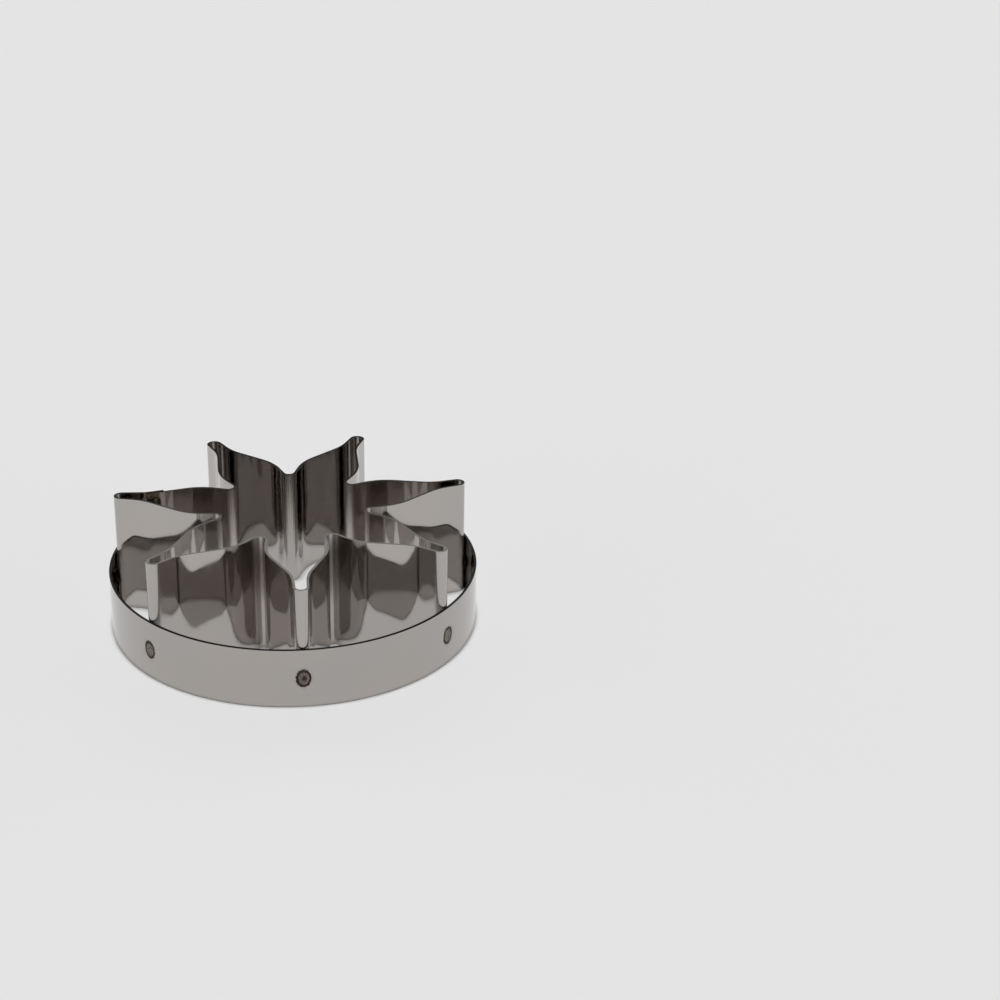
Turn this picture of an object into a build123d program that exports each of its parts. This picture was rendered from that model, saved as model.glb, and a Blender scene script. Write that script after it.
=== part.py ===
from build123d import *
from math import acos, degrees, radians, sqrt, tan
import os

# Flower cookie cutter: a cutting strip bent into a flower, standing inside a lower grip ring.
# The origin is the ring's centre on the lower edges, +Z points to the cutting edge,
# and the front petal points along -Y. Lengths are in millimetres, angles in degrees.

# Sheet and strips
SHEET = 0.5
STRIP_HEIGHT = 25.0
RING_HEIGHT = 12.5
RING_OUTSIDE = 75.0

# Flower: bends are given at the middle of the sheet
PETALS = 7
FRONT_PETAL = -90.0
TIP_GAP = 0.05
TIP_BEND = 1.3
NECK_DEPTH = 6.2
NECK_HALF_WIDTH = 1.5
NECK_BEND = 11.0
SHOULDER_REACH = 20.3
SHOULDER_HALF_WIDTH = 6.35
SHOULDER_BEND = 11.0
NOTCH_REACH = 15.0
NOTCH_BEND = 1.35
LARGEST_BEND_SHARE = 0.9

# Overlapped ends: the flower's on the rear side of the left petal, the ring's between two petals
SEAM_PETAL_INDEX = 5
STRIP_LAP = 3.6
STRIP_LAP_GAP = 0.1
RING_SEAM_PITCHES = 2.5
RING_LAP = 6.5
RING_LAP_GAP = 0.25
RING_JOGGLE = 2.6
RING_END_CLEARANCE = 0.3

# Spot welds: an oval nugget fused through the sheets, with a shallow dish where the electrode pressed,
# and at a petal's tip a narrower core that bites into the bend
RING_WELD_WIDTH = 3.2
RING_WELD_HEIGHT = 4.1
STRIP_WELD_WIDTH = 1.8
STRIP_WELD_HEIGHT = 2.4
STRIP_WELD_INSET = 2.0
WELD_DISH = 0.05
TIP_WELD_CORE = 1.8
TIP_WELD_BITE = 0.35

# Sizes that follow
PITCH = 360 / PETALS
RING_OUTER = RING_OUTSIDE / 2
RING_INNER = RING_OUTER - SHEET
TIP_OUTER = RING_INNER - TIP_GAP
TIP_REACH = TIP_OUTER - SHEET / 2
RING_LAP_STEP = SHEET + RING_LAP_GAP
STRIP_LAP_STEP = SHEET + STRIP_LAP_GAP
WELD_LEVEL = RING_HEIGHT / 2


def tangent_point(centre, radius, outside):
    """The point where a line from an outside point touches a circle, on its right seen from the centre."""
    away = outside - centre
    swing = degrees(acos(radius / away.length))
    return centre + away.normalized().rotate(Axis.Z, -swing) * radius


def on_petal(petal, point, side=1):
    """A point given beside a petal's axis (X along the petal), put on the flower; side -1 mirrors it."""
    return Vector(point.X, side * point.Y).rotate(Axis.Z, FRONT_PETAL + petal * PITCH)


def bend(radius, before, corner, after):
    """A corner's bend radius, no larger than the room up to the points before and after it allows."""
    half_turn = radians((corner - before).get_angle(after - corner)) / 2
    shorter = min((corner - before).length, (after - corner).length)
    return min(radius, LARGEST_BEND_SHARE * shorter / tan(half_turn))


def joggle_point(start, start_direction, end, end_direction):
    """The point where two tangent arcs meet that lead from one line into another."""
    span = end - start
    along = span.dot(start_direction + end_direction)
    spread = 2 * (1 - start_direction.dot(end_direction))
    reach = (sqrt(along**2 + spread * span.dot(span)) - along) / spread
    return (start + start_direction * reach + end - end_direction * reach) / 2


# One side of a petal, seen along X: tip, neck, shoulder, notch
tip = Vector(TIP_REACH, 0)
tip_centre = Vector(TIP_REACH - TIP_BEND, 0)
neck = Vector(TIP_REACH - NECK_DEPTH, NECK_HALF_WIDTH)
shoulder = Vector(SHOULDER_REACH, SHOULDER_HALF_WIDTH)
notch = Vector(NOTCH_REACH, 0).rotate(Axis.Z, PITCH / 2)
notch_centre = Vector(NOTCH_REACH + NOTCH_BEND, 0).rotate(Axis.Z, PITCH / 2)
tip_end = tangent_point(tip_centre, TIP_BEND, neck)
notch_end = tangent_point(notch_centre, NOTCH_BEND, shoulder)
flank_middle = (neck + shoulder) / 2
neck_bend = bend(NECK_BEND, tip_end, neck, flank_middle)
shoulder_bend = bend(SHOULDER_BEND, flank_middle, shoulder, notch_end)

# The overlap: the inner end stops at the neck, the outer end lies beside it on the flank, flat from the weld on
flank = (shoulder - neck).normalized()
outward = flank.rotate(Axis.Z, -90)
lap_neck = neck + outward * STRIP_LAP_STEP
lap_end = lap_neck + flank * STRIP_LAP
lap_weld_start = lap_neck + flank * (STRIP_LAP - STRIP_WELD_WIDTH) / 2
lap_tip_end = tangent_point(tip_centre, TIP_BEND, lap_neck)
lap_bend = bend(NECK_BEND, lap_tip_end, lap_neck, lap_weld_start)

# Places of the welds, each a plane on the outer sheet's face, facing out
ring_seam_angle = FRONT_PETAL + RING_SEAM_PITCHES * PITCH
ring_lap_outer = RING_OUTER + RING_LAP_STEP


def facing(point, height, outwards):
    """A plane at a point of the plan and a height, facing outwards."""
    return Plane(origin=(point.X, point.Y, height), x_dir=(0, 0, 1), z_dir=outwards)


def tip_weld_plane(petal):
    """The ring's outer face at a petal's tip."""
    return facing(on_petal(petal, Vector(RING_OUTER, 0)), WELD_LEVEL, on_petal(petal, Vector(1, 0)))


def strip_weld_plane(height):
    """The outer face of the flower's overlap, half way along it."""
    place = lap_neck + flank * STRIP_LAP / 2 + outward * SHEET / 2
    return facing(on_petal(SEAM_PETAL_INDEX, place, -1), height, on_petal(SEAM_PETAL_INDEX, outward, -1))


ring_seam_direction = Vector(1, 0).rotate(Axis.Z, ring_seam_angle)
ring_seam_plane = facing(ring_seam_direction * ring_lap_outer, WELD_LEVEL, ring_seam_direction)
strip_weld_planes = {
    "upper": strip_weld_plane(STRIP_HEIGHT - STRIP_WELD_INSET),
    "lower": strip_weld_plane(STRIP_WELD_INSET),
}
strip_lap_depth = STRIP_LAP_STEP + SHEET
ring_lap_depth = RING_LAP_STEP + SHEET
tip_core_depth = TIP_GAP + TIP_WELD_BITE

# Flower strip: one open path from the overlap's outer end, once round, to its inner end
with BuildPart() as flower_strip:
    with BuildSketch():
        with BuildLine():
            for turn in range(PETALS):
                petal = SEAM_PETAL_INDEX + turn
                start = on_petal(petal, lap_tip_end if turn == 0 else tip_end, -1)
                if turn == 0:
                    FilletPolyline(
                        on_petal(petal, lap_end, -1),
                        on_petal(petal, lap_neck, -1),
                        start,
                        radius=[lap_bend],
                    )
                ThreePointArc(start, on_petal(petal, tip), on_petal(petal, tip_end))
                FilletPolyline(
                    on_petal(petal, tip_end),
                    on_petal(petal, neck),
                    on_petal(petal, shoulder),
                    on_petal(petal, notch_end),
                    radius=[neck_bend, shoulder_bend],
                )
                ThreePointArc(
                    on_petal(petal, notch_end),
                    on_petal(petal, notch),
                    on_petal(petal + 1, notch_end, -1),
                )
                rising = [on_petal(petal + 1, point, -1) for point in (notch_end, shoulder, neck, tip_end)]
                if turn < PETALS - 1:
                    FilletPolyline(*rising, radius=[shoulder_bend, neck_bend])
                else:
                    FilletPolyline(*rising[:-1], radius=[shoulder_bend])
        trace(line_width=SHEET)
    extrude(amount=STRIP_HEIGHT)
    with BuildSketch(*[tip_weld_plane(petal).offset(-SHEET) for petal in range(PETALS)]):
        Circle(TIP_WELD_CORE / 2)
    extrude(amount=-tip_core_depth, mode=Mode.SUBTRACT)
    with BuildSketch(*strip_weld_planes.values()):
        Ellipse(STRIP_WELD_HEIGHT / 2, STRIP_WELD_WIDTH / 2)
    extrude(amount=-strip_lap_depth, mode=Mode.SUBTRACT)
flower_strip.part.label = "flower_strip"

# Ring band: its outer line runs along the overlap's outer end, a joggle, and once round to the inner end
lap_angle = degrees(RING_LAP / RING_OUTER)
joggle_angle = degrees(RING_JOGGLE / RING_OUTER)
clear_angle = degrees(RING_END_CLEARANCE / RING_OUTER)
lap_start = ring_seam_angle - lap_angle / 2
round_start = lap_start + lap_angle + joggle_angle
with BuildPart() as ring_band:
    with BuildSketch():
        with BuildLine():
            lap = CenterArc((0, 0), ring_lap_outer, lap_start, lap_angle)
            once_round = CenterArc((0, 0), RING_OUTER, round_start, 360 - joggle_angle - clear_angle)
            crossing = joggle_point(lap @ 1, lap % 1, once_round @ 0, once_round % 0)
            step = TangentArc(lap @ 1, crossing, tangent=lap % 1)
            TangentArc(crossing, once_round @ 0, tangent=step % 1)
            offset(amount=SHEET, side=Side.RIGHT)
        make_face()
    extrude(amount=RING_HEIGHT)
    with BuildSketch(*[tip_weld_plane(petal) for petal in range(PETALS)], ring_seam_plane):
        Ellipse(RING_WELD_HEIGHT / 2, RING_WELD_WIDTH / 2)
    extrude(amount=-2 * ring_lap_depth, mode=Mode.SUBTRACT)
ring_band.part.label = "ring_band"


def lap_weld(plane, width, height, depth):
    """A nugget through an overlap, dished on both faces."""
    with BuildPart() as nugget:
        with BuildSketch(plane.offset(-WELD_DISH)):
            Ellipse(height / 2, width / 2)
        extrude(amount=2 * WELD_DISH - depth)
    return nugget.part


def tip_weld(plane):
    """A nugget through the ring, dished outside, with a core that bites into a petal's tip."""
    with BuildPart() as nugget:
        with BuildSketch(plane.offset(-WELD_DISH)):
            Ellipse(RING_WELD_HEIGHT / 2, RING_WELD_WIDTH / 2)
        extrude(amount=WELD_DISH - SHEET)
        with BuildSketch(plane.offset(-SHEET)):
            Circle(TIP_WELD_CORE / 2)
        extrude(amount=-tip_core_depth)
    return nugget.part


welds = {"ring_seam_weld": lap_weld(ring_seam_plane, RING_WELD_WIDTH, RING_WELD_HEIGHT, ring_lap_depth)}
for petal in range(PETALS):
    welds[f"tip_weld_{petal + 1}"] = tip_weld(tip_weld_plane(petal))
for name, plane in strip_weld_planes.items():
    welds[f"strip_seam_weld_{name}"] = lap_weld(plane, STRIP_WELD_WIDTH, STRIP_WELD_HEIGHT, strip_lap_depth)

os.makedirs("parts", exist_ok=True)
export_step(flower_strip.part, "parts/flower_strip.step")
export_step(ring_band.part, "parts/ring_band.step")
for name, nugget in welds.items():
    nugget.label = name
    export_step(nugget, f"parts/{name}.step")
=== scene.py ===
import bpy
import cmath
import math
import numpy as np
from mathutils import Matrix, Vector


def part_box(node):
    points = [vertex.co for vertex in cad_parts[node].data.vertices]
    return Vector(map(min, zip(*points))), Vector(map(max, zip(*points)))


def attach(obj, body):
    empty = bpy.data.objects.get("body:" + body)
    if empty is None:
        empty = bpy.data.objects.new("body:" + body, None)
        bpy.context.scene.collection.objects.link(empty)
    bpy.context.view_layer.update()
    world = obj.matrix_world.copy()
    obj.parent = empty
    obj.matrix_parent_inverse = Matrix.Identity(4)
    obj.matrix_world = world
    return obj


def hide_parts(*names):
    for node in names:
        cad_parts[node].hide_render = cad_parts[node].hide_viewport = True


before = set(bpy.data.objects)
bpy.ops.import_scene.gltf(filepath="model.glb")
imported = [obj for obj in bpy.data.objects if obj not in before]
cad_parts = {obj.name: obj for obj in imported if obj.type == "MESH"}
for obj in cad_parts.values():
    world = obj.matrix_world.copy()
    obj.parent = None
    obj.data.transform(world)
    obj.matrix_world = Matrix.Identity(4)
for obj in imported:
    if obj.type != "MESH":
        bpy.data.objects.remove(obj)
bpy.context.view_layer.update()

# Flower cookie cutter: a bright steel strip bent into a flower, spot welded into a lower ring.
# Lengths are in metres. A point of the plan is a complex number: X is real and Y imaginary.
MM = 0.001

# Sheet and strips: edges are rounded by two radii, outside and inside, and the finish of the cut
# covers so many steps of the rounding of the lower and the upper edge
SHEET = 0.5 * MM
STRIP_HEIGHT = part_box("flower_strip")[1].z
RING_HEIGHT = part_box("ring_band")[1].z
RING_OUTER = 37.5 * MM
RING_INNER = RING_OUTER - SHEET
RING_MIDDLE = RING_OUTER - SHEET / 2
EDGE_STEPS = 3
FLOWER_EDGES = (0.01 * MM, 0.015 * MM)
FLOWER_CUT = (0, 0)
RING_EDGES = (0.1 * MM, 0.02 * MM)
# The ring's dark cut finish covers all of the upper rounding but only the flat of the lower edge: painted
# shade that widens the dark line along the rim.
RING_CUT_AND_SHADE = (0, EDGE_STEPS)

# Flower: bends are given at the middle of the sheet
PETALS = 7
PITCH = math.tau / PETALS
FRONT_PETAL = math.radians(-90)
TIP_GAP = 0.05 * MM
TIP_REACH = RING_INNER - TIP_GAP - SHEET / 2
TIP_BEND = 1.3 * MM
NECK_DEPTH = 6.2 * MM
NECK_HALF_WIDTH = 1.5 * MM
NECK = TIP_REACH - NECK_DEPTH + 1j * NECK_HALF_WIDTH
NECK_BEND = 11.0 * MM
SHOULDER_REACH = 20.3 * MM
SHOULDER_HALF_WIDTH = 6.35 * MM
SHOULDER = SHOULDER_REACH + 1j * SHOULDER_HALF_WIDTH
SHOULDER_BEND = 11.0 * MM
NOTCH_REACH = 15.0 * MM
NOTCH_BEND = 1.35 * MM
LARGEST_BEND_SHARE = 0.9

# Overlapped ends: the flower's on the rear side of the left petal, the ring's between two petals
SEAM_PETAL = 5
STRIP_LAP = 3.6 * MM
STRIP_LAP_GAP = 0.1 * MM
STRIP_LAP_STEP = SHEET + STRIP_LAP_GAP
RING_SEAM_PITCHES = 2.5
RING_SEAM = FRONT_PETAL + RING_SEAM_PITCHES * PITCH
RING_LAP = 6.5 * MM
RING_LAP_GAP = 0.25 * MM
RING_LAP_STEP = SHEET + RING_LAP_GAP
RING_JOGGLE = 2.6 * MM
RING_END_CLEARANCE = 0.3 * MM

# Spot welds: oval nuggets, in shallow dishes on the ring and a little proud on the flower's overlap.
# The nugget of a tip ends inside the ring's sheet, and its core goes on into the petal.
RING_WELD_WIDTH = 3.2 * MM
RING_WELD_HEIGHT = 4.1 * MM
STRIP_WELD_WIDTH = 1.8 * MM
STRIP_WELD_HEIGHT = 2.4 * MM
STRIP_WELD_INSET = 2.0 * MM
STRIP_WELD_LEVELS = {"lower": STRIP_WELD_INSET, "upper": STRIP_HEIGHT - STRIP_WELD_INSET}
WELD_LEVEL = RING_HEIGHT / 2
TIP_WELD_DEPTH = 0.9 * SHEET
TIP_WELD_CORE = 1.8 * MM
TIP_WELD_BITE = 0.35 * MM
DISH_DEPTH = 0.1 * MM
DISH_EDGE = 0.3 * MM

# Scorch: halos are in radii of a weld. On the inner layer of the flower's overlap a patch is scorched
# and partly painted shade, and from the middle of the weld's mark it fades to the edge: heights, and the
# half widths they count as.
RING_HALO = 0.8
STRIP_HALO = 1.1
SCORCH_AND_SHADE_HEIGHT = 2.6 * MM
SCORCH_AND_SHADE_RISE = (0, 0.45 * MM, 1.65 * MM)
SCORCH_AND_SHADE_FADE = (0, 0.95, 1.1)
STRIP_MARK_SHIFT = 0.35 * MM

# The electrode's pit lies off a weld's middle, on the overlap towards the edge. Shares of a weld's radius
# colour it: tips without a pit have the colour of PIT_SHARE in their middle, and the cores of CORE_SHARE.
PIT_SHIFT = 0.2 * MM
PIT_SEED = 4
STRIP_PIT_SHIFT = 0.65 * MM
PITTED_TIPS = (0, 3)
PIT_SHARE = 0.4
CORE_SHARE = 0.8

# Waves of the thin sheet between its bends
WAVE_HEIGHT = 0.05 * MM
WAVE_LENGTHS = (23 * MM, 37 * MM, 61 * MM)
WAVE_SEED = 7
FLAT_AT_TIP = 6.0 * MM
FLAT_AT_LAP = 3.0 * MM

# A bend starts to count as tight and counts in full at these shares of a tip's curvature
TIGHT_SHARES = (0.4, 0.9)

# Fineness of the meshes
RUN_STEP = 0.6 * MM
END_STEP = 0.2 * MM
ROW_STEP = 1.25 * MM
BEND_STEP = math.radians(4)
FINE_STEP = 0.16 * MM
FINE_ROW = 0.4 * MM
RING_STEP = 0.8 * MM
SHARP_FROM = math.radians(12)
WELD_SIDES = 72
WELD_RINGS = 36


def on_petal(petal, point, side=1):
    """A point given beside a petal's axis (X along the petal), put on the flower; side -1 mirrors it."""
    beside = point if side > 0 else point.conjugate()
    return beside * cmath.exp(1j * (FRONT_PETAL + petal * PITCH))


def meeting(start, direction, end, end_direction):
    """The point where two lines of the plan meet."""
    across = (direction.conjugate() * end_direction).imag
    return start + direction * ((end - start).conjugate() * end_direction).imag / across


def tangent_corner(before, after, centre, radius, turn):
    """The corner between two points that a circle rounds; turn is 1 to the left and -1 to the right."""
    arriving = (centre - before) * cmath.exp(-1j * turn * math.asin(radius / abs(centre - before)))
    leaving = (centre - after) * cmath.exp(1j * turn * math.asin(radius / abs(centre - after)))
    return meeting(before, arriving, after, leaving)


def rounded_line(corners, bends):
    """Points along an open line with rounded corners, and the line's directions there."""
    points = [corners[0]]
    directions = [(corners[1] - corners[0]) / abs(corners[1] - corners[0])]
    for corner, after, bend in zip(corners[1:], corners[2:], bends):
        leaving = (after - corner) / abs(after - corner)
        turn = cmath.phase(leaving / directions[-1])
        start = corner - directions[-1] * bend * math.tan(abs(turn) / 2)
        add_run(points, directions, start, END_STEP if len(points) == 1 else RUN_STEP)
        centre = start + 1j * directions[-1] * math.copysign(bend, turn)
        steps = math.ceil(abs(turn) / BEND_STEP)
        turned = np.exp(1j * np.linspace(0, turn, steps + 1)[1:])
        points.extend(centre + (start - centre) * turned)
        directions.extend(directions[-1] * turned)
    add_run(points, directions, corners[-1], END_STEP)
    return np.array(points), np.array(directions)


def add_run(points, directions, end, step):
    """Adds a straight run to a line, in short steps."""
    start = points[-1]
    steps = math.ceil(abs(end - start) / step)
    points.extend(start + (end - start) * np.linspace(0, 1, steps + 1)[1:])
    directions.extend([directions[-1]] * steps)


# The overlap of the flower's ends lies on one petal's flank, flat from the weld on
FLANK = (SHOULDER - NECK) / abs(SHOULDER - NECK)
FLANK_OUTWARD = FLANK * -1j
LAP_NECK = NECK + FLANK_OUTWARD * STRIP_LAP_STEP
LAP_END = LAP_NECK + FLANK * STRIP_LAP
LAP_BEND_ROOM = LARGEST_BEND_SHARE * (STRIP_LAP - STRIP_WELD_WIDTH) / 2


def flower_line():
    """The middle of the flower's strip, from the overlap's outer end, once round, to its inner end."""
    tip_centre = TIP_REACH - TIP_BEND
    notch_centre = (NOTCH_REACH + NOTCH_BEND) * cmath.exp(0.5j * PITCH)
    corners = [on_petal(SEAM_PETAL, LAP_END, -1), on_petal(SEAM_PETAL, LAP_NECK, -1)]
    bends = []
    for petal in range(SEAM_PETAL, SEAM_PETAL + PETALS):
        neck = on_petal(petal, NECK)
        shoulder = on_petal(petal, SHOULDER)
        next_shoulder = on_petal(petal + 1, SHOULDER, -1)
        tip = tangent_corner(corners[-1], neck, on_petal(petal, tip_centre), TIP_BEND, 1)
        notch = tangent_corner(shoulder, next_shoulder, on_petal(petal, notch_centre), NOTCH_BEND, -1)
        corners += [tip, neck, shoulder, notch, next_shoulder, on_petal(petal + 1, NECK, -1)]
        bends += [NECK_BEND, TIP_BEND, NECK_BEND, SHOULDER_BEND, NOTCH_BEND, SHOULDER_BEND]
    lap_turn = cmath.phase((corners[2] - corners[1]) / (corners[1] - corners[0]))
    bends[0] = LAP_BEND_ROOM / math.tan(abs(lap_turn) / 2)
    return rounded_line(corners, bends)


def ring_line(angles):
    """The middle of the ring's strip and its directions there, at angles that run from the overlap's
    outer end to its inner end."""
    lap_end = angles[0] + RING_LAP / RING_OUTER
    step = 1 - smooth((angles - lap_end) * RING_OUTER / RING_JOGGLE)
    points = (RING_MIDDLE + RING_LAP_STEP * step) * np.exp(1j * angles)
    directions = np.gradient(points)
    return points, directions / abs(directions)


def waves(points, level):
    """How far the flower's sheet stands off its line: none at the tips and the overlap."""
    travelled = distance_along(points)[:, None]
    drift = np.random.default_rng(WAVE_SEED)
    rise = 0
    for length in WAVE_LENGTHS:
        along, upward = drift.uniform(0, math.tau, 2)
        ripple = np.sin(math.tau * travelled / length + along)
        rise = rise + ripple * np.sin(math.pi * level / STRIP_HEIGHT + upward)
    from_tip = smooth((TIP_REACH - abs(points)) / FLAT_AT_TIP)
    from_lap = smooth((abs(points - strip_weld_place(0)) - FLAT_AT_LAP) / FLAT_AT_LAP)
    return rise * WAVE_HEIGHT / len(WAVE_LENGTHS) * (from_tip * from_lap)[:, None]


def upright(points, level):
    """The ring's sheet doesn't stand off its line."""
    return 0


def graded(low, high, centres, reach, fine, coarse):
    """Places from low to high, close together near the centres."""
    marks = sorted({low, high, *(c + s * reach for c in centres for s in (-1, 1))})
    places = [low]
    for start, end in zip(marks, marks[1:]):
        near = any(abs((start + end) / 2 - c) < reach for c in centres)
        steps = math.ceil((end - start) / (fine if near else coarse))
        places.extend(np.linspace(start, end, steps + 1)[1:])
    return np.array(places)


def smooth(share):
    """Eases from 0 to 1."""
    share = np.clip(share, 0, 1)
    return share * share * (3 - 2 * share)


def distance_along(points):
    """The distance travelled along a line at each of its points."""
    return np.concatenate([[0], np.cumsum(abs(np.diff(points)))])


def bent_tight(points, directions):
    """Tells the tight bends of a line, which are 1, from its runs and wide bends, which are 0."""
    turning = abs(np.angle(directions[1:] / directions[:-1])) / abs(np.diff(points))
    tightest = np.maximum(np.append(turning, 0), np.append(0, turning))
    start, full = TIGHT_SHARES
    return smooth((tightest * TIP_BEND - start) / (full - start))


def section(heights, edges):
    """A sheet's section on edge, up its outer face and down its inner one: places across and levels.
    Its edges are rounded by two radii, outside and inside."""
    low, high = heights[0], heights[-1]
    turn = np.linspace(0, math.pi / 2, EDGE_STEPS + 1)[1:]
    sides = []
    for side, radius in zip((-1, 1), edges):
        inset = SHEET / 2 - radius * (1 - np.cos(turn))
        over = radius * (1 - np.sin(turn))
        rows = [low + radius, low + 2 * radius, *heights[1:-1], high - 2 * radius, high - radius]
        across = side * np.concatenate([inset[::-1], np.full(len(rows), SHEET / 2), inset])
        sides.append((across, np.concatenate([low + over[::-1], rows, high - over])))
    outer, inner = sides
    return (np.concatenate([up, down[::-1]]) for up, down in zip(outer, inner))


def strip_object(name, points, directions, heights, edges, cut_steps, lean, materials):
    """A strip of sheet on edge along a line, as a mesh object. The finish of the cut covers the flat of the
    lower and the upper edge and as many steps of their rounding as cut_steps says. Lean gives how far the
    strip stands off the line."""
    across, level = section(heights, edges)
    plan = points[:, None] + 1j * directions[:, None] * (across[None, :] + lean(points, level[None, :]))
    grid = np.stack([plan.real, plan.imag, np.broadcast_to(level, plan.shape)], axis=-1)
    along, around = plan.shape
    index = np.arange(along * around).reshape(along, around)
    beside = np.roll(index, -1, axis=1)
    quads = np.stack([index[:-1], index[1:], beside[1:], beside[:-1]], axis=-1)
    cut = np.zeros(around, int)
    for flat_edge, steps in zip((-1, around // 2 - 1), cut_steps):
        cut[flat_edge + np.arange(-steps, steps + 1)] = 1
    mesh = bpy.data.meshes.new(name)
    ends = [index[0].tolist(), index[-1][::-1].tolist()]
    mesh.from_pydata(grid.reshape(-1, 3).tolist(), [], quads.reshape(-1, 4).tolist() + ends)
    finish = np.concatenate([np.tile(cut, along - 1), [1, 1]])
    mesh.polygons.foreach_set("material_index", finish.astype(np.int32))
    travelled = np.broadcast_to(distance_along(points)[:, None], plan.shape)
    flat = np.stack([travelled, grid[..., 2]], axis=-1).reshape(-1, 2)
    corner = np.zeros(len(mesh.loops), np.int32)
    mesh.loops.foreach_get("vertex_index", corner)
    mesh.uv_layers.new(name="strip").data.foreach_set("uv", flat[corner].astype(np.float32).ravel())
    return mesh_object(mesh, materials)


def mesh_object(mesh, materials):
    """A smooth object of a mesh, sharp at its cut edges."""
    for material in materials:
        mesh.materials.append(material)
    mesh.polygons.foreach_set("use_smooth", np.ones(len(mesh.polygons), bool))
    mesh.set_sharp_from_angle(angle=SHARP_FROM)
    thing = bpy.data.objects.new(mesh.name, mesh)
    bpy.context.scene.collection.objects.link(thing)
    return thing


def vertices(mesh):
    """A mesh's vertices as an array."""
    places = np.zeros(len(mesh.vertices) * 3, np.float32)
    mesh.vertices.foreach_get("co", places)
    return places.reshape(-1, 3).astype(float)


def set_value(mesh, name, values):
    """Keeps a number on each vertex, for the materials."""
    attribute = mesh.attributes.new(name, "FLOAT", "POINT")
    attribute.data.foreach_set("value", values.astype(np.float32))


def set_offset(mesh, along, up):
    """Keeps each vertex's offset from the nearest weld, in half widths of its scorch, for the materials."""
    attribute = mesh.attributes.new("from_weld", "FLOAT_VECTOR", "POINT")
    offset = np.stack([along, up, np.zeros(len(along))], axis=-1)
    attribute.data.foreach_set("vector", offset.astype(np.float32).ravel())


def part(thing, node):
    """Makes an object stand for a node of the model."""
    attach(thing, "root")
    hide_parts(node)


class Nodes:
    """The nodes of a material or of the world, with ways to add, join and combine them."""

    def __init__(self, tree):
        self.tree = tree
        self.join = tree.links.new

    def add(self, kind, **settings):
        """A new node with these settings."""
        made = self.tree.nodes.new("ShaderNode" + kind)
        for key, value in settings.items():
            setattr(made, key, value)
        return made

    def noise(self, place, scale, detail):
        """A soft random pattern from 0 to 1, scaled along each axis."""
        spread = self.add("Mapping")
        spread.inputs["Scale"].default_value = scale
        self.join(place, spread.inputs["Vector"])
        made = self.add("TexNoise")
        made.inputs["Scale"].default_value = 1
        made.inputs["Detail"].default_value = detail
        self.join(spread.outputs["Vector"], made.inputs["Vector"])
        return made.outputs["Fac"]

    def between(self, value, reach, result):
        """A number that goes from one end of a result to the other as a value goes along its reach."""
        made = self.add("MapRange")
        for name, number in zip(("From Min", "From Max", "To Min", "To Max"), (*reach, *result)):
            made.inputs[name].default_value = number
        self.join(value, made.inputs["Value"])
        return made.outputs["Result"]

    def pair(self, kind, operation, first, second):
        """Two values in one."""
        made = self.add(kind, operation=operation)
        self.join(first, made.inputs[0])
        self.join(second, made.inputs[1])
        return made.outputs[0]

    def numbers(self, operation, first, second):
        """Two numbers in one."""
        return self.pair("Math", operation, first, second)

    def colours(self, operation, first, second):
        """Two colours in one."""
        return self.pair("VectorMath", operation, first, second)

    def colour(self, value, stops):
        """The colour that a number stands for, from stops that are a number and its colour each."""
        made = self.add("ValToRGB")
        scale = made.color_ramp
        while len(scale.elements) < len(stops):
            scale.elements.new(1)
        for element, (place, shade) in zip(scale.elements, stops):
            element.position = place
            element.color = (*shade, 1)
        self.join(value, made.inputs["Fac"])
        return made.outputs["Color"]

    def relief(self, height, depth):
        """The normals of a surface that a pattern from 0 to 1 roughens to a depth."""
        made = self.add("Bump")
        made.inputs["Strength"].default_value = 1
        made.inputs["Distance"].default_value = depth
        self.join(height, made.inputs["Height"])
        return made.outputs["Normal"]

    def make_metal(self, colour, roughness, normals):
        """Gives a material's shader the surface of a metal."""
        inputs = self.tree.nodes["Principled BSDF"].inputs
        inputs["Metallic"].default_value = 1
        self.join(colour, inputs["Base Color"])
        self.join(roughness, inputs["Roughness"])
        self.join(normals, inputs["Normal"])


def new_material(name):
    """A new material and its nodes."""
    material = bpy.data.materials.new(name)
    material.use_nodes = True
    return material, Nodes(material.node_tree)


# Patterns: patches for each metre along each axis, and the number of finer layers.
# Most of a pattern lies between two values, and the rest is cut off there.
ROLLING_LINES = ((30, 7000, 1), 3)
SHEAR_LINES = ((5000, 300, 1), 3)
SMUDGES = ((160, 160, 160), 4)
TONES = ((55, 55, 55), 2)
TINT_BLOTCHES = ((2200, 2200, 2200), 1)
WELD_BLOTCHES = ((1300, 1300, 1300), 3)
WELD_SPECKS = ((2600, 2600, 2600), 3)
MOST_OF_PATTERN = (0.3, 0.7)
MOST_OF_BLOTCHES = (0.25, 0.75)
MOST_OF_SMUDGES = (0.45, 0.75)
WHOLE = (0, 1)

# Bright sheet, and its tint by the distance from a weld, as a share of TINT_RANGE half widths of the scorch
WARM_STEEL = np.array((0.482, 0.449, 0.425))
COOL_STEEL = np.array((0.466, 0.445, 0.428))
STEEL_TONES = [(0.35, WARM_STEEL), (0.65, COOL_STEEL)]
FLOWER_TONE = 1
RING_TONE = 0.95
LINE_ROUGHNESS = (0.045, 0.075)
LINE_DEPTH = 0.0002 * MM
SMUDGE_ROUGHNESS = (0, 0.05)
BEND_ROUGHNESS = 0.14
TINT_RANGE = 3
TINT_UNEVENNESS = (-0.03, 0.03)
# The tint goes near black on the inner layer of the flower's overlap: scorch there, and partly painted
# shade.
HEAT_TINT_AND_SHADE = [
    (0.3, (0.1, 0.084, 0.066)), (0.36, (0.5, 0.44, 0.37)), (0.41, (0.92, 0.86, 0.78)), (0.5, (1, 1, 1)),
]
SCORCHED = (0.3, 0.4)
SCORCH_ROUGHNESS = 0.35


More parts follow.
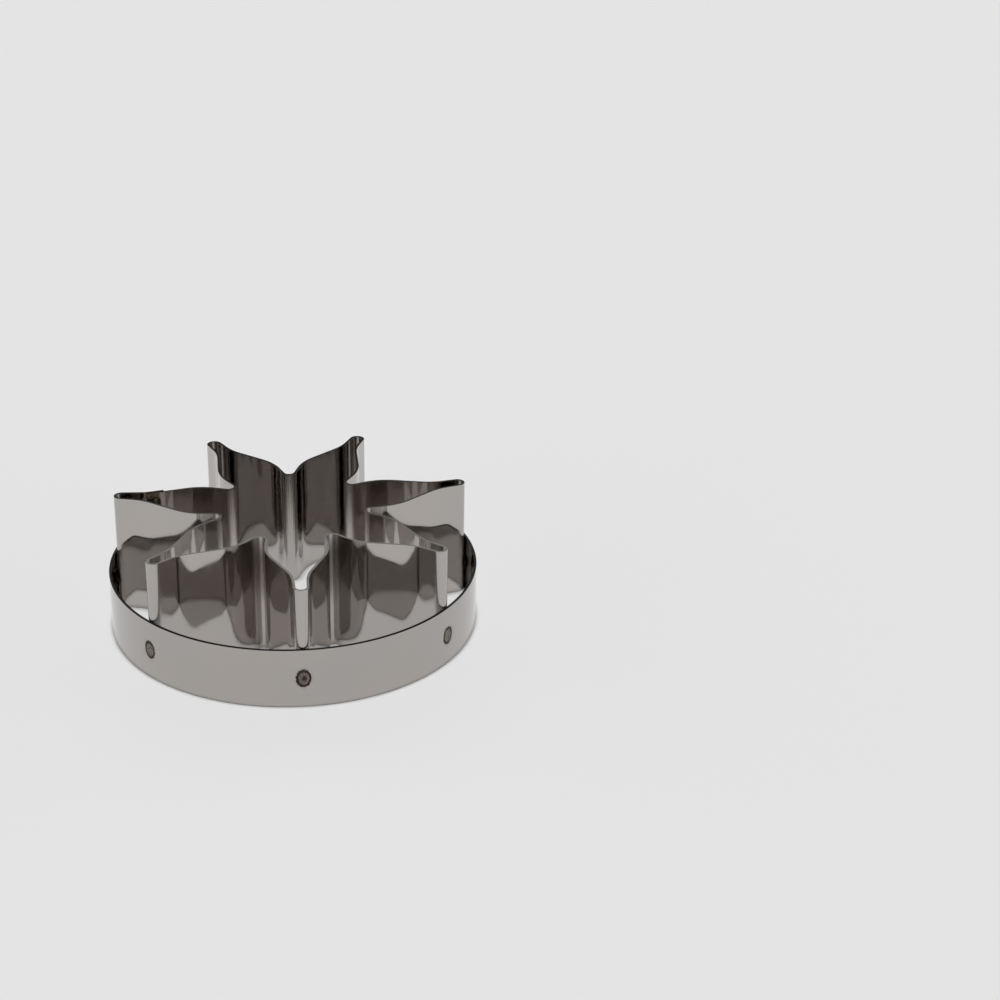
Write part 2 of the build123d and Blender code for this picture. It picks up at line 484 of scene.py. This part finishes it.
def heat(nodes, place):
    """The distance from the nearest weld as a share of the tint's range, made uneven. On the inner layer of
    the flower's overlap it also gives painted shade.
    """
    away = nodes.add("VectorMath", operation="LENGTH")
    nodes.join(nodes.add("Attribute", attribute_name="from_weld").outputs["Vector"], away.inputs[0])
    share = nodes.between(away.outputs["Value"], (0, TINT_RANGE), WHOLE)
    blotches = nodes.between(nodes.noise(place, *TINT_BLOTCHES), MOST_OF_PATTERN, TINT_UNEVENNESS)
    return nodes.numbers("ADD", share, blotches)


def bright_steel(name, tone):
    """Bright rolled stainless sheet with the tint of the welds' heat, which is partly painted shade on the
    flower's
    overlap: faint rolling lines and smudges, and tight bends that are duller and have no lines."""
    material, nodes = new_material(name)
    place = nodes.add("TexCoord").outputs["Object"]
    lines = nodes.noise(nodes.add("UVMap", uv_map="strip").outputs["UV"], *ROLLING_LINES)
    tight = nodes.add("Attribute", attribute_name="tight").outputs["Fac"]
    heat_and_shade_share = heat(nodes, place)
    steel = [(share, tone * shade) for share, shade in STEEL_TONES]
    sheet = nodes.colour(nodes.noise(place, *TONES), steel)
    tinted = nodes.colours("MULTIPLY", sheet, nodes.colour(heat_and_shade_share, HEAT_TINT_AND_SHADE))
    fine = nodes.between(lines, MOST_OF_PATTERN, LINE_ROUGHNESS)
    haze = nodes.between(nodes.noise(place, *SMUDGES), MOST_OF_SMUDGES, SMUDGE_ROUGHNESS)
    dull = nodes.between(tight, WHOLE, (0, BEND_ROUGHNESS))
    scorch = nodes.between(heat_and_shade_share, SCORCHED, (SCORCH_ROUGHNESS, 0))
    roughness = fine
    for more in (haze, dull, scorch):
        roughness = nodes.numbers("ADD", roughness, more)
    flattened = nodes.between(tight, WHOLE, (1, 0))
    ridges = nodes.numbers("MULTIPLY", lines, flattened)
    nodes.make_metal(tinted, roughness, nodes.relief(ridges, LINE_DEPTH))
    return material


# Weld faces, coloured by the share of their radius
SCORCH = (0.045, 0.035, 0.026)
PRESSED = (0.17, 0.155, 0.132)
PIT = (0.05, 0.041, 0.028)
OLIVE = (0.17, 0.15, 0.103)
RING_WELD = [
    (0.22, PIT), (0.36, PRESSED), (0.6, PRESSED), (0.7, SCORCH), (0.93, SCORCH), (1, RING_TONE * WARM_STEEL),
]
STRIP_WELD = [(0.35, OLIVE), (0.6, SCORCH)]
WELD_MOTTLE = [(0.35, (0.55, 0.53, 0.5)), (0.5, (1, 1, 1)), (0.65, (1.5, 1.46, 1.4))]
WELD_UNEVENNESS = (-0.05, 0.05)
WELD_ROUGHNESS = (0.24, 0.48)
SPECK_DEPTH = 0.012 * MM


def welded_steel(name, colours):
    """The face of a spot weld, uneven, coloured from its centre to its rim."""
    material, nodes = new_material(name)
    place = nodes.add("TexCoord").outputs["Object"]
    specks = nodes.noise(place, *WELD_SPECKS)
    blotches = nodes.between(nodes.noise(place, *WELD_BLOTCHES), MOST_OF_BLOTCHES, WELD_UNEVENNESS)
    share = nodes.add("Attribute", attribute_name="share").outputs["Fac"]
    face = nodes.colour(nodes.numbers("ADD", share, blotches), colours)
    mottled = nodes.colours("MULTIPLY", face, nodes.colour(specks, WELD_MOTTLE))
    roughness = nodes.between(specks, MOST_OF_PATTERN, WELD_ROUGHNESS)
    nodes.make_metal(mottled, roughness, nodes.relief(specks, SPECK_DEPTH))
    return material


# Sheared edges: colours and roughness by the streaks, and the streaks' depth
# The ring's raw edges are near black: dark from the shears and partly painted shade along the rim.
RAW_STREAKS_AND_SHADE = [(0.3, (0.015, 0.014, 0.013)), (0.7, (0.04, 0.038, 0.035))]
RAW_ROUGHNESS = (0.28, 0.4)
RAW_DEPTH = 0.002 * MM
WORKED_STREAKS = [(0.3, (0.13, 0.124, 0.115)), (0.7, (0.25, 0.24, 0.225))]
WORKED_ROUGHNESS = (0.05, 0.09)
WORKED_DEPTH = 0.0002 * MM


def cut_steel(name, colours, roughness, depth):
    """The sheet's sheared edges, streaked across to a depth."""
    material, nodes = new_material(name)
    streaks = nodes.noise(nodes.add("UVMap", uv_map="strip").outputs["UV"], *SHEAR_LINES)
    heat_and_shade_share = heat(nodes, nodes.add("TexCoord").outputs["Object"])
    tinted = nodes.colours("MULTIPLY", nodes.colour(streaks, colours), nodes.colour(heat_and_shade_share, HEAT_TINT_AND_SHADE))
    streaked = nodes.between(streaks, MOST_OF_PATTERN, roughness)
    nodes.make_metal(tinted, streaked, nodes.relief(streaks, depth))
    return material


def raw_edge_and_shade():
    """The ring's edges, dark from the shears, and darker still as painted shade along the rim."""
    return cut_steel("raw_edge_and_shade", RAW_STREAKS_AND_SHADE, RAW_ROUGHNESS, RAW_DEPTH)


def worked_edge():
    """The flower's cutting edges, smoothed by use."""
    return cut_steel("worked_edge", WORKED_STREAKS, WORKED_ROUGHNESS, WORKED_DEPTH)


def flower(materials):
    """The flower's strip, scorched at its welded overlap, with painted shade in part on the overlap's inner
    layer.
    """
    points, directions = flower_line()
    heights = graded(0, STRIP_HEIGHT, STRIP_WELD_LEVELS.values(), STRIP_WELD_INSET, FINE_ROW, ROW_STEP)
    thing = strip_object("flower", points, directions, heights, FLOWER_EDGES, FLOWER_CUT, waves, materials)
    level = vertices(thing.data)[:, 2]
    around = len(level) // len(points)
    set_offset(thing.data, *flower_scorch_and_shade(distance_along(points).repeat(around), level))
    set_value(thing.data, "tight", bent_tight(points, directions).repeat(around))
    part(thing, "flower_strip")


def flower_scorch_and_shade(travelled, level):
    """Offsets from the overlap's nearest weld, along the strip and up, in half widths of its scorch.
    The outer layer has a halo round the weld, and the inner one a patch up to its end that is scorched and
    partly painted shade. The upper and lower edges are tinted along the whole overlap."""
    half_width, half_height = STRIP_WELD_WIDTH / 2, STRIP_WELD_HEIGHT / 2
    from_end = np.minimum(travelled, travelled[-1] - travelled)
    from_middle = abs(level - STRIP_HEIGHT / 2)
    beyond_weld = from_middle - (STRIP_HEIGHT / 2 - STRIP_WELD_INSET)
    beyond_mark = beyond_weld - STRIP_MARK_SHIFT
    halo_along = abs(from_end - STRIP_LAP / 2) / half_width / STRIP_HALO
    halo_up = abs(beyond_weld) / half_height / STRIP_HALO
    patch_along = np.maximum(from_end - STRIP_LAP / 2, 0) / half_width
    patch_up = np.maximum(abs(beyond_weld) - SCORCH_AND_SHADE_HEIGHT / 2, 0) / half_width
    patch_up = np.where(beyond_mark > 0, np.interp(beyond_mark, SCORCH_AND_SHADE_RISE, SCORCH_AND_SHADE_FADE), patch_up)
    edge_along = 1 + np.maximum(from_end - STRIP_LAP, 0) / half_width
    outer_layer = travelled < travelled[-1] / 2
    on_edge = from_middle > STRIP_HEIGHT / 2 - FLOWER_EDGES[0] / 2
    along = np.where(on_edge, edge_along, np.where(outer_layer, halo_along, patch_along))
    up = np.where(on_edge, 0, np.where(outer_layer, halo_up, patch_up))
    return along, up


def ring(materials):
    """The ring's strip, dished under its welds."""
    lap_start = RING_SEAM - RING_LAP / RING_OUTER / 2
    ring_end = lap_start + math.tau + (RING_LAP - RING_END_CLEARANCE) / RING_OUTER
    first_tip = math.ceil(RING_SEAM_PITCHES)
    tips = [FRONT_PETAL + petal * PITCH for petal in range(first_tip, first_tip + PETALS)]
    centres = [*tips, RING_SEAM, RING_SEAM + math.tau]
    joggle = lap_start + (RING_LAP + RING_JOGGLE / 2) / RING_OUTER
    reach = RING_WELD_WIDTH / 2 + DISH_EDGE
    fine, coarse = FINE_STEP / RING_OUTER, RING_STEP / RING_OUTER
    angles = graded(lap_start, ring_end, [*centres, joggle], reach / RING_OUTER, fine, coarse)
    points, directions = ring_line(angles)
    reach_up = RING_WELD_HEIGHT / 2 + DISH_EDGE
    heights = graded(0, RING_HEIGHT, [WELD_LEVEL], reach_up, FINE_STEP, RING_STEP)
    thing = strip_object("ring", points, directions, heights, RING_EDGES, RING_CUT_AND_SHADE, upright, materials)
    places = vertices(thing.data)
    plan = places[:, 0] + 1j * places[:, 1]
    away = np.min([abs(np.angle(plan / np.exp(1j * c))) for c in centres], axis=0) * RING_OUTER
    up = (places[:, 2] - WELD_LEVEL) * RING_WELD_WIDTH / RING_WELD_HEIGHT
    scorched = RING_HALO * RING_WELD_WIDTH / 2
    set_offset(thing.data, away / scorched, up / scorched)
    outside = abs(plan) > RING_MIDDLE
    at_seam = abs(np.angle(plan / np.exp(1j * RING_SEAM))) < reach / RING_OUTER
    pressed = np.where(outside, -DISH_DEPTH, DISH_DEPTH * at_seam)
    dish = pressed * (1 - smooth((np.hypot(away, up) - RING_WELD_WIDTH / 2) / DISH_EDGE))
    places[:, :2] *= (1 + dish / abs(plan))[:, None]
    thing.data.vertices.foreach_set("co", places.astype(np.float32).ravel())
    part(thing, "ring_band")


# The face of a weld from its centre to its rim, as shares of its radius and heights in millimetres
WELD_RELIEF = [
    (0, -0.030), (0.18, -0.028), (0.3, -0.004), (0.42, -0.012), (0.5, 0), (0.62, 0),
    (0.74, -0.022), (0.86, -0.018), (0.95, 0), (1, -0.03),
]


def strip_weld_place(outwards):
    """The middle of the flower's overlap in plan, at a distance from the middle of the outer layer."""
    return on_petal(SEAM_PETAL, LAP_NECK + FLANK * STRIP_LAP / 2 + FLANK_OUTWARD * outwards, -1)


def pressed_face(radius, sunk):
    """A weld's face from its centre to its rim: radii, heights over the sheet and shares of the radius."""
    share = np.linspace(0, 1, WELD_RINGS)
    shares, heights = zip(*WELD_RELIEF)
    return share * radius, np.interp(share, shares, heights) * MM - sunk, share


def on_ring(angle, radius):
    """A function that bends a flat piece round the ring: across, up and out become X, Y and Z."""
    def bent(across, up, out):
        turned = angle + across / radius
        return (radius + out) * np.cos(turned), (radius + out) * np.sin(turned), WELD_LEVEL + up
    return bent


def on_overlap(level):
    """A function that puts a flat piece on the flower's overlap: across, up and out become X, Y and Z."""
    face = strip_weld_place(SHEET / 2)
    outward = on_petal(SEAM_PETAL, FLANK_OUTWARD, -1)

    def flat(across, up, out):
        plan = face + outward * (out + 1j * across)
        return plan.real, plan.imag, level + up
    return flat


pit_directions = np.random.default_rng(PIT_SEED)


def pit_shift():
    """How far the electrode's pit lies off the middle of a weld on the ring."""
    return PIT_SHIFT * cmath.exp(1j * pit_directions.uniform(0, math.tau))


def weld(node, place, stretch, radii, out, share, shift, materials):
    """A spot weld turned from a profile that starts and ends on its axis, and stretched upwards into
    an oval. The shift moves its middle off the axis."""
    turns = np.exp(1j * np.linspace(0, math.tau, WELD_SIDES, endpoint=False))
    flat = radii[1:-1, None] * turns[None, :] + shift * (1 - share[1:-1, None])
    x, y, z = place(flat.real, flat.imag * stretch, np.broadcast_to(out[1:-1, None], flat.shape))
    rings = np.stack([x, y, z], axis=-1).reshape(-1, 3)
    ends = [0, -1]
    middles = shift * (1 - share[ends])
    poles = [np.array(place(at.real, at.imag * stretch, height)) for at, height in zip(middles, out[ends])]
    count = len(rings)
    index = np.arange(count).reshape(-1, WELD_SIDES)
    beside = np.roll(index, -1, axis=1)
    quads = np.stack([index[:-1], index[1:], beside[1:], beside[:-1]], axis=-1).reshape(-1, 4)
    front_fan = [(count, a, b) for a, b in zip(index[0], beside[0])]
    rear_fan = [(count + 1, b, a) for a, b in zip(index[-1], beside[-1])]
    mesh = bpy.data.meshes.new(node + "_mark")
    mesh.from_pydata([*rings.tolist(), *poles], [], [*quads.tolist(), *front_fan, *rear_fan])
    set_value(mesh, "share", np.concatenate([share[1:-1].repeat(WELD_SIDES), share[ends]]))
    part(mesh_object(mesh, materials), node)


def tip_weld(petal, materials):
    """The weld of a petal's tip: a nugget through the ring and a narrower core in the tip."""
    radii, out, share = pressed_face(RING_WELD_WIDTH / 2, DISH_DEPTH / 2)
    core = TIP_WELD_CORE / 2
    core_end = SHEET + TIP_GAP + TIP_WELD_BITE
    behind = [radii[-1], core, core, 0]
    radii = np.concatenate([radii, behind])
    out = np.concatenate([out, [-TIP_WELD_DEPTH, -TIP_WELD_DEPTH, -core_end, -core_end]])
    share = np.concatenate([share, np.full(len(behind), CORE_SHARE)])
    if petal not in PITTED_TIPS:
        share = np.maximum(share, PIT_SHARE)
    place = on_ring(FRONT_PETAL + petal * PITCH, RING_OUTER)
    stretch = RING_WELD_HEIGHT / RING_WELD_WIDTH
    weld(f"tip_weld_{petal + 1}", place, stretch, radii, out, share, pit_shift(), materials)


def lap_weld(node, place, width, height, sunk, depth, shift, materials):
    """The weld of an overlap, pressed on both faces."""
    radii, out, share = pressed_face(width / 2, sunk)
    radii, share = (np.concatenate([value, value[::-1]]) for value in (radii, share))
    out = np.concatenate([out, -depth - out[::-1]])
    weld(node, place, height / width, radii, out, share, shift, materials)


def ring_welds(materials):
    """The welds of the petals' tips and of the ring's own overlap."""
    for petal in range(PETALS):
        tip_weld(petal, materials)
    place = on_ring(RING_SEAM, RING_OUTER + RING_LAP_STEP)
    depth = RING_LAP_STEP + SHEET
    size = RING_WELD_WIDTH, RING_WELD_HEIGHT
    lap_weld("ring_seam_weld", place, *size, DISH_DEPTH / 2, depth, pit_shift(), materials)


def strip_welds(materials):
    """The welds of the flower's overlap, with their pits towards the edges."""
    size = STRIP_WELD_WIDTH, STRIP_WELD_HEIGHT
    depth = STRIP_LAP_STEP + SHEET
    unstretched = STRIP_PIT_SHIFT * STRIP_WELD_WIDTH / STRIP_WELD_HEIGHT
    for name, level in STRIP_WELD_LEVELS.items():
        node = f"strip_seam_weld_{name}"
        shift = 1j * math.copysign(unstretched, level - STRIP_HEIGHT / 2)
        lap_weld(node, on_overlap(level), *size, -DISH_DEPTH / 2, depth, shift, materials)


# The photograph's view: the cutter's turn, the camera's tilt and roll, and where the origin lies
# to the right, above and ahead of the camera
CUTTER_TURN = math.radians(8.0)
CAMERA_TILT = math.radians(25.66)
CAMERA_ROLL = math.radians(1.14)
ORIGIN_RIGHT = -42.56 * MM
ORIGIN_UP = -23.63 * MM
ORIGIN_AHEAD = 450 * MM
LENS_PER_WIDTH = 2.163
NEAREST_SEEN = 10 * MM


def camera():
    """The camera of the photograph."""
    data = bpy.data.cameras.new("camera")
    data.lens = LENS_PER_WIDTH * data.sensor_width
    data.clip_start = NEAREST_SEEN
    thing = bpy.data.objects.new("camera", data)
    bpy.context.scene.collection.objects.link(thing)
    turn = (
        Matrix.Rotation(-CUTTER_TURN, 3, "Z")
        @ Matrix.Rotation(math.pi / 2 - CAMERA_TILT, 3, "X")
        @ Matrix.Rotation(CAMERA_ROLL, 3, "Z")
    )
    place = turn @ -Vector((ORIGIN_RIGHT, ORIGIN_UP, -ORIGIN_AHEAD))
    thing.matrix_world = Matrix.Translation(place) @ turn.to_4x4()
    bpy.context.scene.camera = thing


def greys(*stops):
    """Stops of a number and its grey, as stops of colours."""
    return [(place, (grey, grey, grey)) for place, grey in stops]


# The studio. The room's light goes by the sine of the height above the horizon: a pale horizon under
# a dim ceiling, a pale screen on the left and on the right, and a lit panel high behind the cutter.
FLOOR_WIDTH = 12.0
FLOOR_GREY = 0.8
LIGHT_STRENGTH = 2.5
LIGHT_WIDTH = math.radians(8)
ROOM = greys((0, 0.75), (0.05, 0.7), (0.12, 0.08), (1, 0.08))
SCREEN_HEIGHT = greys((0.05, 0), (0.1, 0.8), (0.3, 0.8), (0.4, 0))
SCREEN_SIDE = greys((0.5, 0), (0.7, 1))
PANEL_HEIGHT = greys((0.438, 0), (0.442, 0.8), (0.6, 0.8), (0.65, 0))
PANEL_BEHIND = greys((0.6, 0), (0.7, 1))
BOUNCES = 24


def pale_floor():
    """A floor of pale paper."""
    half = FLOOR_WIDTH / 2
    mesh = bpy.data.meshes.new("floor")
    corners = [(-half, -half, 0), (half, -half, 0), (half, half, 0), (-half, half, 0)]
    mesh.from_pydata(corners, [], [(0, 1, 2, 3)])
    material, nodes = new_material("pale_paper")
    inputs = nodes.tree.nodes["Principled BSDF"].inputs
    inputs["Base Color"].default_value = (FLOOR_GREY, FLOOR_GREY, FLOOR_GREY, 1)
    inputs["Roughness"].default_value = 1
    inputs["Specular IOR Level"].default_value = 0
    mesh.materials.append(material)
    floor = bpy.data.objects.new("floor", mesh)
    bpy.context.scene.collection.objects.link(floor)


def softbox():
    """A soft light straight above."""
    light = bpy.data.lights.new("softbox", "SUN")
    light.energy = LIGHT_STRENGTH
    light.angle = LIGHT_WIDTH
    lamp = bpy.data.objects.new("softbox", light)
    bpy.context.scene.collection.objects.link(lamp)


def room():
    """The room around the floor."""
    world = bpy.data.worlds.new("room")
    world.use_nodes = True
    nodes = Nodes(world.node_tree)
    direction = nodes.add("SeparateXYZ")
    nodes.join(nodes.add("TexCoord").outputs["Generated"], direction.inputs["Vector"])
    right, behind, above = (direction.outputs[axis] for axis in "XYZ")
    sideways = nodes.add("Math", operation="ABSOLUTE")
    nodes.join(right, sideways.inputs[0])
    beside = nodes.colour(sideways.outputs["Value"], SCREEN_SIDE)
    screens = nodes.colours("MULTIPLY", nodes.colour(above, SCREEN_HEIGHT), beside)
    panel = nodes.colours("MULTIPLY", nodes.colour(above, PANEL_HEIGHT), nodes.colour(behind, PANEL_BEHIND))
    lit = nodes.colours("ADD", nodes.colours("ADD", nodes.colour(above, ROOM), screens), panel)
    nodes.join(lit, nodes.tree.nodes["Background"].inputs["Color"])
    bpy.context.scene.world = world


def studio():
    """A pale floor, a soft light above and a dim room, in true tones and with bounces enough for mirrors."""
    pale_floor()
    softbox()
    room()
    scene = bpy.context.scene
    scene.view_settings.view_transform = "Standard"
    scene.cycles.use_denoising = True
    scene.cycles.max_bounces = BOUNCES
    scene.cycles.glossy_bounces = BOUNCES


flower([bright_steel("flower_steel", FLOWER_TONE), worked_edge()])
ring([bright_steel("ring_steel", RING_TONE), raw_edge_and_shade()])
ring_welds([welded_steel("ring_weld", RING_WELD)])
strip_welds([welded_steel("strip_weld", STRIP_WELD)])
camera()
studio()
